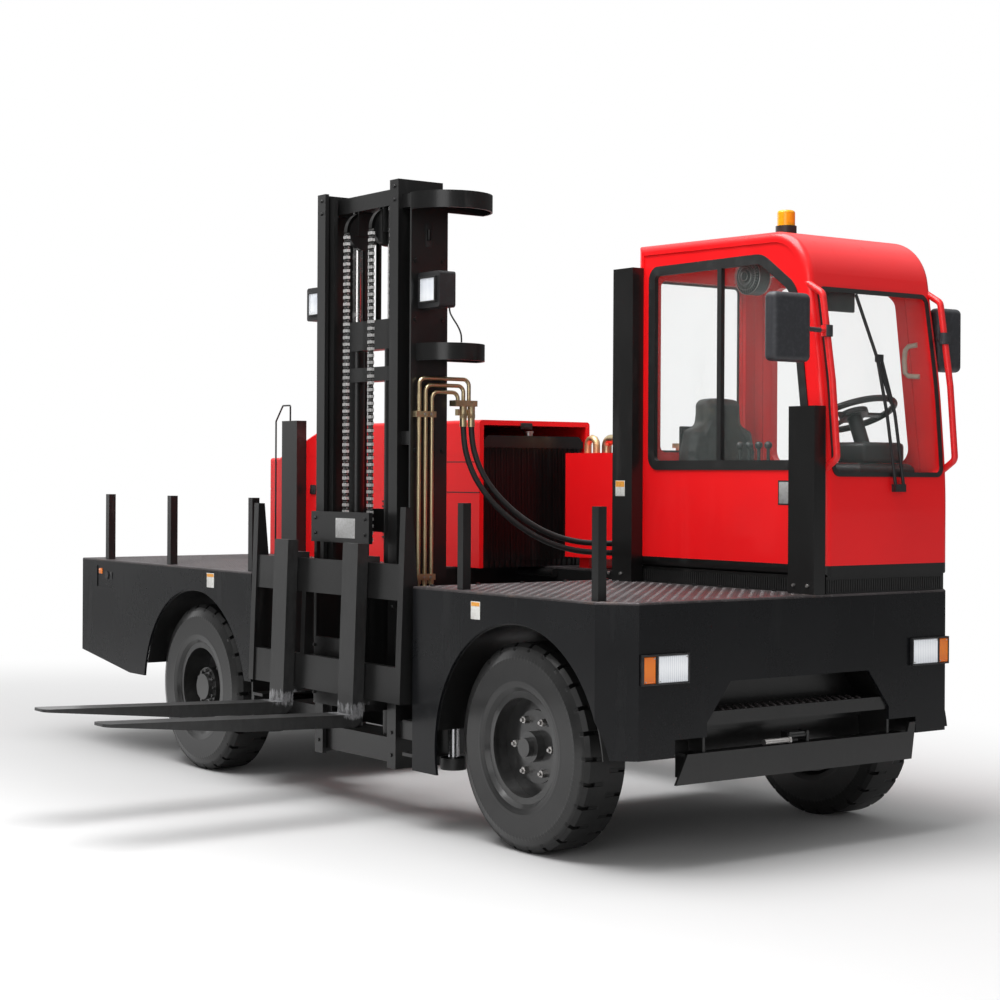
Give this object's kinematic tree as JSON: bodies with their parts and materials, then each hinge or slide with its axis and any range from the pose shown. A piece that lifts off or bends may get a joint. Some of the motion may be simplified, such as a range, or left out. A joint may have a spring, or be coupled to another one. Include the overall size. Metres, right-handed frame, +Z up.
{
  "type": "side loader forklift",
  "caption": "Side loader forklift: flat load deck, reach mast with forks in a side well, single-seat corner cab, rear engine hood, pneumatic tyres.",
  "frame": {"origin": "on the floor, below the middle of the machine's box, forks included", "axes": "+X to the cab end, +Z up, -Y to the load side where the forks point"},
  "size_m": [4.775, 3.2725, 2.83],
  "materials": {
    "red_paint": "gloss",
    "black_paint": "satin",
    "chassis_paint": "satin",
    "deck_steel": "checker plate, worn",
    "fork_steel": "worn",
    "chrome": "polished",
    "zinc": "yellow zinc",
    "chain_steel": "oiled",
    "rubber_black": "matt",
    "tyre": "matt",
    "rim_paint": "gloss",
    "glass": "clear",
    "lamp_clear": "clear",
    "lamp_amber": "amber",
    "black_plastic": "matt",
    "seat_vinyl": "vinyl",
    "cast_black": "painted"
  },
  "bodies": {
    "chassis": {"beacon": "lamp_amber", "cab_controls": "black_plastic", "cab_far_frame": "red_paint", "cab_floor": "black_paint", "cab_front_panel": "red_paint", "cab_glass": "glass", "cab_rear_panel": "red_paint", "cab_roof": "red_paint", "cab_side_panel": "red_paint", "deck_plates": "deck_steel", "deck_posts": "black_paint", "drive_axle": "cast_black", "engine": "cast_black", "frame": "black_paint", "front_skirt": "chassis_paint", "front_step": "black_paint", "head_lamps": "lamp_clear", "hood": "red_paint", "hydraulic_tank": "red_paint", "indicators": "lamp_amber", "jack_tubes": "black_paint", "mast_hose_high": "rubber_black", "mast_hose_low": "rubber_black", "mirrors": "black_plastic", "radiator": "black_paint", "rear_skirt": "chassis_paint", "seat": "seat_vinyl", "steer_axle": "cast_black", "steering_column": "black_plastic", "tank_fittings": "zinc", "wheel_liners": "black_paint", "window_seals": "rubber_black", "wiper": "black_plastic"},
    "cab_door_leaf": {"cab_door": "red_paint", "door_glass": "glass"},
    "trolley": {"mast_trolley": "black_paint", "outer_mast": "black_paint", "lift_cylinder": "black_paint", "mast_pipes": "zinc", "mast_lamps": "black_plastic"},
    "inner_lift": {"inner_mast": "black_paint", "lift_rod": "chrome", "lift_chains": "chain_steel"},
    "carriage_body": {"carriage": "black_paint", "carriage_cheeks": "black_paint"},
    "fork_carrier": {"fork_frame": "black_paint"},
    "front_fork": {"fork_front": "fork_steel"},
    "rear_fork": {"fork_rear": "fork_steel"},
    "near_knuckle": {"knuckle_near": "cast_black"},
    "far_knuckle": {"knuckle_far": "cast_black"},
    "front_wheel_near": {"front_rim_near": "rim_paint", "front_tyre_near": "tyre"},
    "front_wheel_far": {"front_rim_far": "rim_paint", "front_tyre_far": "tyre"},
    "rear_wheel_near": {"rear_rim_near": "rim_paint", "rear_tyre_near": "tyre"},
    "rear_wheel_far": {"rear_rim_far": "rim_paint", "rear_tyre_far": "tyre"},
    "front_jack": {"front_jack_rod": "chrome"},
    "rear_jack": {"rear_jack_rod": "chrome"}
  },
  "joints": [
    {"name": "mast_reach", "type": "slide", "parent": "chassis", "child": "trolley", "axis": [0, 1, 0], "range_m": [0, 1.1], "deforming": ["mast_hose_low", "mast_hose_high"]},
    {"name": "inner_mast_lift", "type": "slide", "parent": "trolley", "child": "inner_lift", "axis": [0, 0, 1], "range_m": [0, 1.6]},
    {"name": "carriage_lift", "type": "slide", "parent": "inner_lift", "child": "carriage_body", "axis": [0, 0, 1], "range_m": [0, 1.6]},
    {"name": "fork_frame_tilt", "type": "hinge", "parent": "carriage_body", "child": "fork_carrier", "pos_m": [2.3225, -0.334, 0.6], "axis": [-1, 0, 0], "range_deg": [-5, 3]},
    {"name": "front_fork_shift", "type": "slide", "parent": "fork_carrier", "child": "front_fork", "axis": [1, 0, 0], "range_m": [-0.2, 0.19]},
    {"name": "rear_fork_shift", "type": "slide", "parent": "fork_carrier", "child": "rear_fork", "axis": [-1, 0, 0], "range_m": [-0.2, 0.19]},
    {"name": "near_wheel_steer", "type": "hinge", "parent": "chassis", "child": "near_knuckle", "pos_m": [1.6675, -0.064, 0.42], "axis": [0, 0, 1], "range_deg": [-30, 30]},
    {"name": "far_wheel_steer", "type": "hinge", "parent": "chassis", "child": "far_knuckle", "pos_m": [1.6675, 1.276, 0.42], "axis": [0, 0, 1], "range_deg": [-30, 30]},
    {"name": "front_near_spin", "type": "hinge", "parent": "near_knuckle", "child": "front_wheel_near", "pos_m": [1.6675, -0.2015, 0.42], "axis": [0, 1, 0], "continuous": true},
    {"name": "front_far_spin", "type": "hinge", "parent": "far_knuckle", "child": "front_wheel_far", "pos_m": [1.6675, 1.4135, 0.42], "axis": [0, 1, 0], "continuous": true},
    {"name": "rear_near_spin", "type": "hinge", "parent": "chassis", "child": "rear_wheel_near", "pos_m": [-1.0775, -0.2015, 0.42], "axis": [0, 1, 0], "continuous": true},
    {"name": "rear_far_spin", "type": "hinge", "parent": "chassis", "child": "rear_wheel_far", "pos_m": [-1.0775, 1.4135, 0.42], "axis": [0, 1, 0], "continuous": true},
    {"name": "front_jack_lower", "type": "slide", "parent": "chassis", "child": "front_jack", "axis": [0, 0, -1], "range_m": [0, 0.245]},
    {"name": "rear_jack_lower", "type": "slide", "parent": "chassis", "child": "rear_jack", "axis": [0, 0, -1], "range_m": [0, 0.245]},
    {"name": "cab_door_swing", "type": "hinge", "parent": "chassis", "child": "cab_door_leaf", "pos_m": [1.2345, 1.4813, 1.105], "axis": [0, 0, 1], "range_deg": [0, 80]}
  ],
  "couplings": [
    {"joint": "carriage_lift", "follows": "inner_mast_lift", "ratio": 1},
    {"joint": "far_wheel_steer", "follows": "near_wheel_steer", "ratio": 1}
  ]
}
